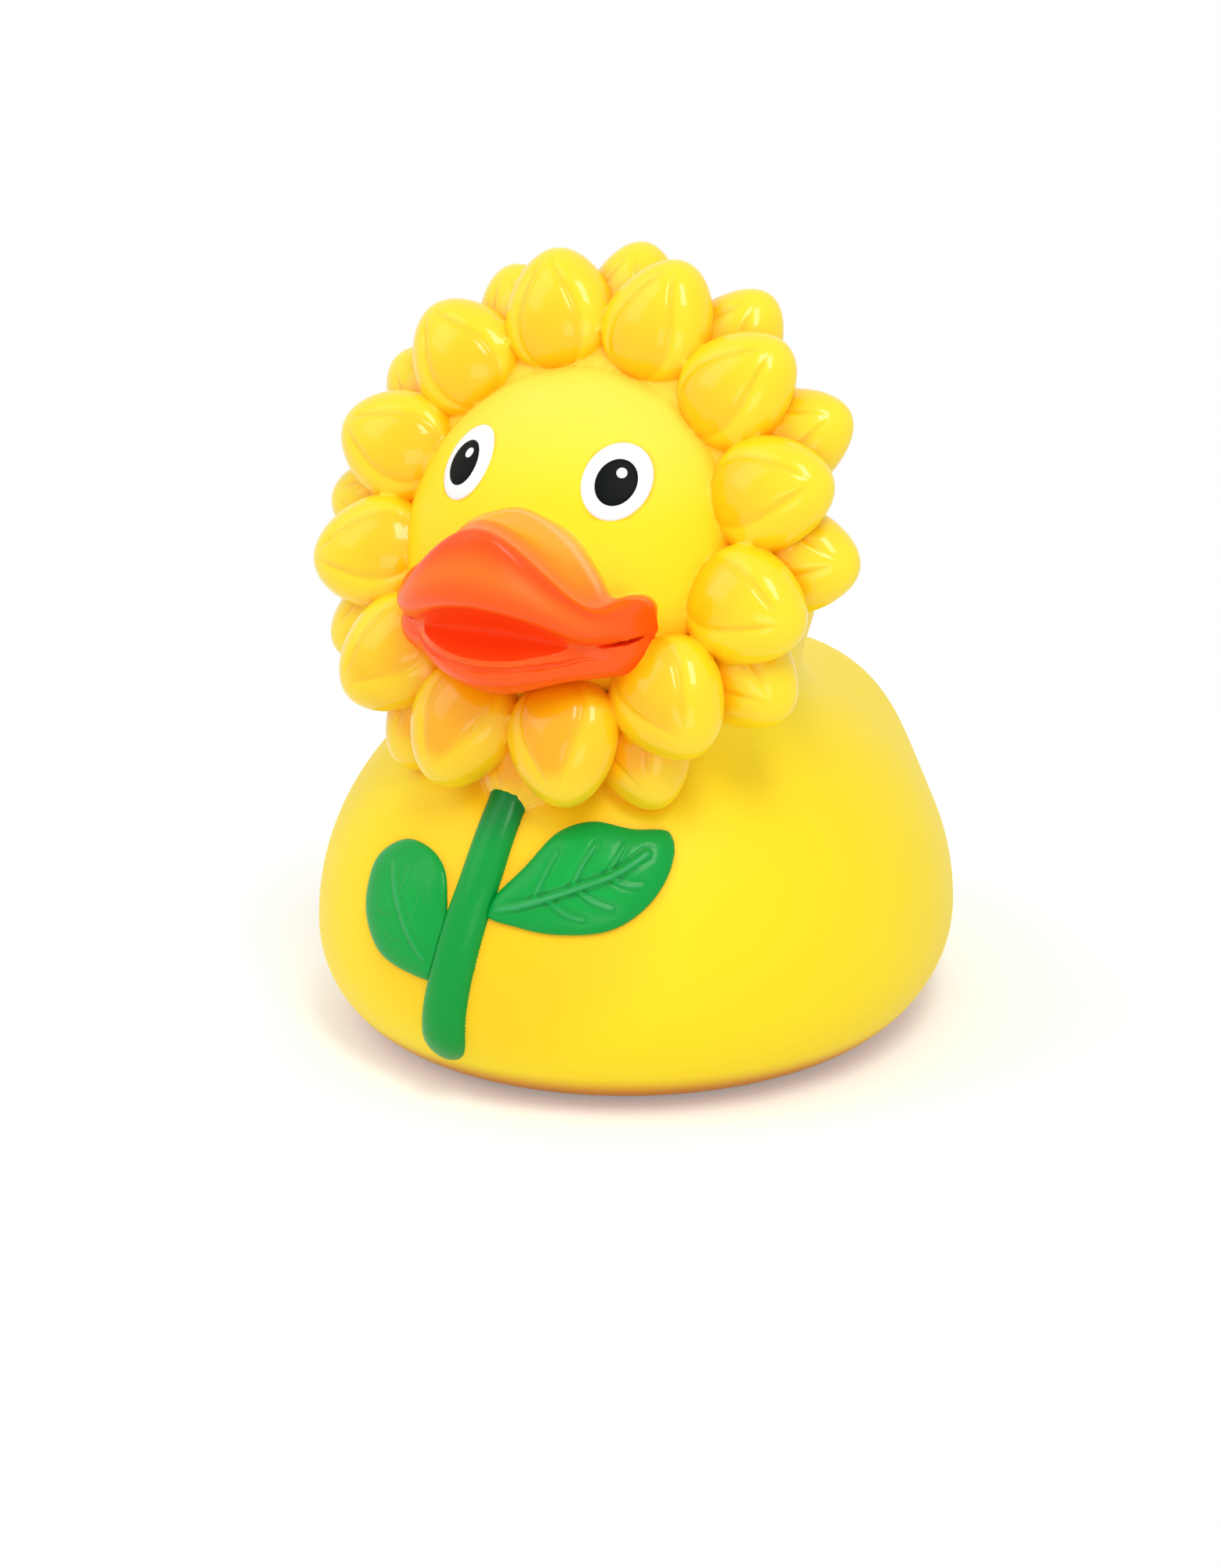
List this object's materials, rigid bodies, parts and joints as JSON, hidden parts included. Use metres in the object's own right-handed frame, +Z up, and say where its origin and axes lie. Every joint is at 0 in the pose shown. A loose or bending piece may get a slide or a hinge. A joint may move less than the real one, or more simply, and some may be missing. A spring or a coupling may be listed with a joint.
{
  "type": "rubber duck",
  "caption": "Hollow soft-vinyl bath duck with a ring of petals round its face, an open bill, and a stem with leaves in relief on its chest.",
  "frame": {"origin": "middle of the flat base, on the surface the duck stands on", "axes": "+Z up, the face looks towards -Y, +X to the duck's left"},
  "size_m": [0.0728, 0.0832, 0.0909],
  "materials": {
    "vinyl": "yellow soft vinyl, satin to semi-gloss, moulded colour",
    "petal_paint": "golden yellow petals, semi-gloss, darker in the creases",
    "bill_paint": "orange-red paint, satin gloss",
    "green_paint": "leaf green paint, semi-gloss",
    "eye_white": "white paint, satin",
    "eye_black": "black paint, gloss"
  },
  "bodies": {
    "root": {"duck": "vinyl"}
  },
  "joints": []
}
